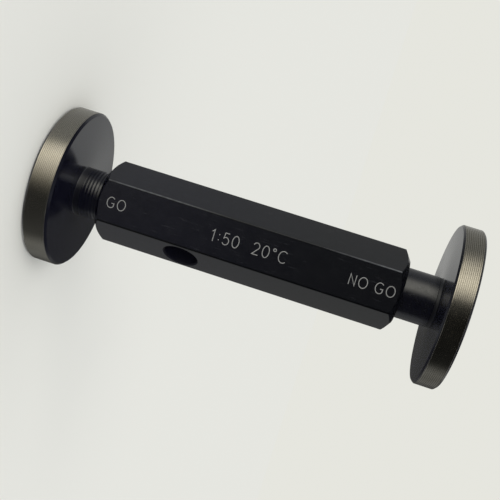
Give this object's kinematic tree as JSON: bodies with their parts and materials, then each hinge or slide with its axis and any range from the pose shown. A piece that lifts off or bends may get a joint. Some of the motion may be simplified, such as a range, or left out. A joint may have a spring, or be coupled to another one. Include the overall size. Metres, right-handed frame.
{
  "type": "thread plug gauge",
  "caption": "Double-ended plug gauge for a fine internal thread: wide go ring and narrower no-go ring on short necks, jammed by tapers into a black hexagon handle.",
  "frame": {"origin": "centre of the go ring's outer face, which the gauge stands on", "axes": "+Z along the gauge's axis from the go ring to the no-go ring; -Y out of the flat that carries the marks; the drift hole runs at 30 degrees from +X towards -Y"},
  "size_m": [0.047, 0.047, 0.1222],
  "materials": {
    "black_oxide_steel": "satin black oxide on turned and milled steel",
    "ground_steel": "bare thread-ground steel, slightly warm",
    "etched_mark": "pale matt laser etching"
  },
  "bodies": {
    "root": {"go_member": "black_oxide_steel", "handle": "black_oxide_steel", "no_go_member": "black_oxide_steel"}
  },
  "joints": []
}
